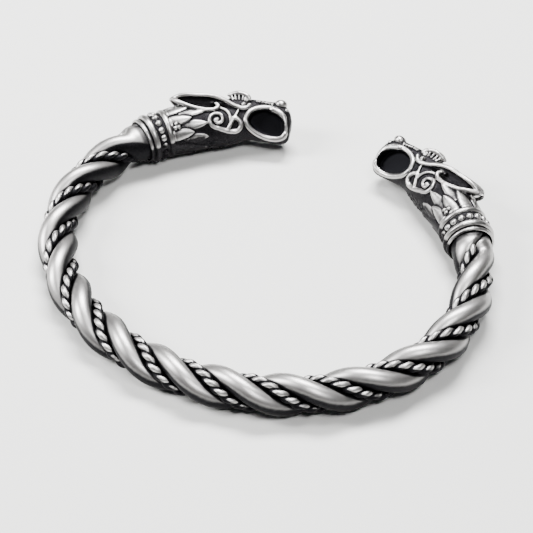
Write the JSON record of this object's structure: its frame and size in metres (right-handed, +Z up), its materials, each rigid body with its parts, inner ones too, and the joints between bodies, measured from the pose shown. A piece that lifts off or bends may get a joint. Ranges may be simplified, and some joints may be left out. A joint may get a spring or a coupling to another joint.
{
  "type": "viking arm ring with beast heads",
  "caption": "Open oval arm ring of twisted smooth rods with roped wires in the grooves and a cast beast's head on each end.",
  "frame": {"origin": "middle of the ring's box, on the surface that it lies on", "axes": "+Z up out of the ring's oval, +X along its longer way, +Y from the front of the hoop toward the gap between the heads"},
  "size_m": [0.0745, 0.0637, 0.0105],
  "materials": {
    "smooth_rods": "satin-polished silver rod, darkened by oxide in small dents and where the rods meet the wires",
    "roped_wires": "two-ply silver wire, bright on its crests and blackened by oxide between its plies",
    "cast_heads": "cast silver, satin-polished on the raised work and blackened by oxide in the recesses"
  },
  "bodies": {
    "root": {"smooth_rod_a": "smooth_rods", "smooth_rod_b": "smooth_rods", "roped_wire_a": "roped_wires", "roped_wire_b": "roped_wires", "left_head": "cast_heads", "right_head": "cast_heads"}
  },
  "joints": []
}
